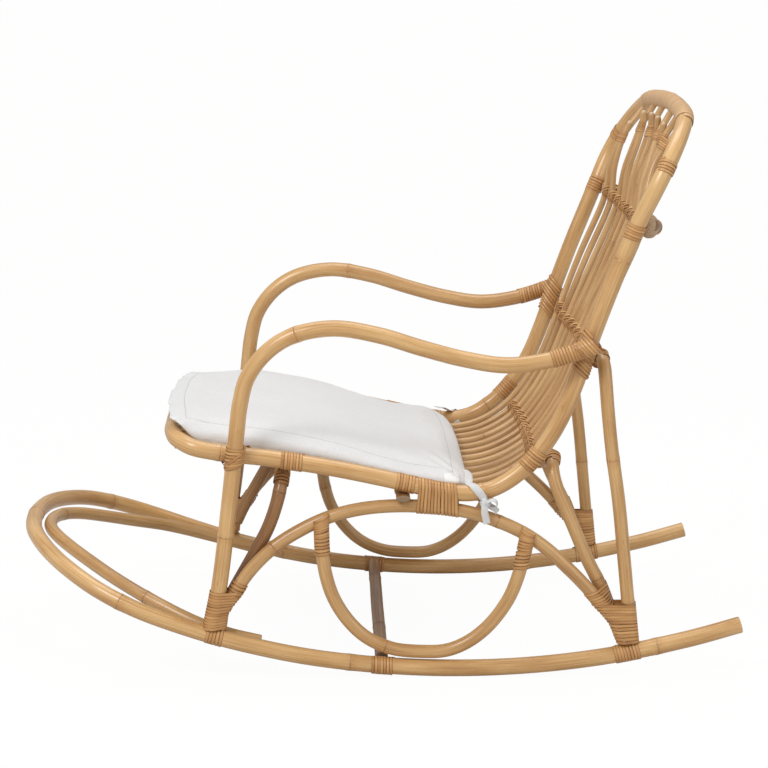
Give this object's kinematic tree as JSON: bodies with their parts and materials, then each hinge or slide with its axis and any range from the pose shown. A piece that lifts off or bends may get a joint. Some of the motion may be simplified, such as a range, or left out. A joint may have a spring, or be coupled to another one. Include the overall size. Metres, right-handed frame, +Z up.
{
  "type": "rocking chair",
  "caption": "Bent rattan rocking chair on hoop runners, with lashed joints, a spindle seat and back, side arches and half rings, and a tied canvas cushion that lifts at the front.",
  "frame": {"origin": "on the floor, midway between the runners, under the middle of the whole chair's length", "axes": "+Z up, the chair faces -X, the sitter's left is -Y"},
  "size_m": [1.0828, 0.6202, 0.8384],
  "materials": {
    "pole": "satin lacquer",
    "pole_dark": "satin lacquer",
    "spindle": "satin lacquer",
    "peel": "satin",
    "canvas": "woven cotton canvas",
    "tape": "woven cotton tape",
    "label": "satin-woven ribbon, blank"
  },
  "bodies": {
    "frame": {"runner_hoop": "pole", "inner_front_hoop": "pole", "seat_back_hoop": "pole", "arm_leg_L": "pole", "arm_leg_R": "pole", "side_arch_L": "pole", "side_arch_R": "pole", "half_ring_L": "pole", "half_ring_R": "pole", "front_bow": "pole_dark", "rear_leg_bow": "pole_dark", "rear_brace_bow": "pole_dark", "under_seat_bar": "pole_dark", "upper_back_bar": "pole_dark", "runner_bar": "pole_dark", "spindle_01": "spindle", "spindle_02": "spindle", "spindle_03": "spindle", "spindle_04": "spindle", "spindle_05": "spindle", "spindle_06": "spindle", "spindle_07": "spindle", "spindle_08": "spindle", "spindle_09": "spindle", "spindle_10": "spindle", "spindle_11": "spindle", "spindle_12": "spindle", "front_base_lashing_L": "peel", "front_base_lashing_R": "peel", "rear_base_lashing_L": "peel", "rear_base_lashing_R": "peel", "leg_rail_lashing_L": "peel", "leg_rail_lashing_R": "peel", "rail_arch_lashing_L": "peel", "rail_arch_lashing_R": "peel", "half_ring_front_lashing_L": "peel", "half_ring_front_lashing_R": "peel", "half_ring_rear_lashing_L": "peel", "half_ring_rear_lashing_R": "peel", "arm_post_lashing_L": "peel", "arm_post_lashing_R": "peel", "front_bow_lashing_L": "peel", "front_bow_lashing_R": "peel", "under_bar_lashing_L": "peel", "under_bar_lashing_R": "peel", "runner_bar_lashing_L": "peel", "runner_bar_lashing_R": "peel", "upper_bar_lashing_L": "peel", "upper_bar_lashing_R": "peel", "brace_post_lashing_L": "peel", "brace_post_lashing_R": "peel", "post_ring_L": "peel", "post_ring_R": "peel", "head_rail_wrap": "peel", "tie_L": "tape", "tie_R": "tape"},
    "cushion": {"seat_cushion": "canvas", "cushion_label": "label"}
  },
  "joints": [
    {"name": "cushion_lift", "type": "hinge", "parent": "frame", "child": "cushion", "pos_m": [0.13894, 0, 0.2754], "axis": [0, 1, 0], "range_deg": [0, 70]}
  ]
}
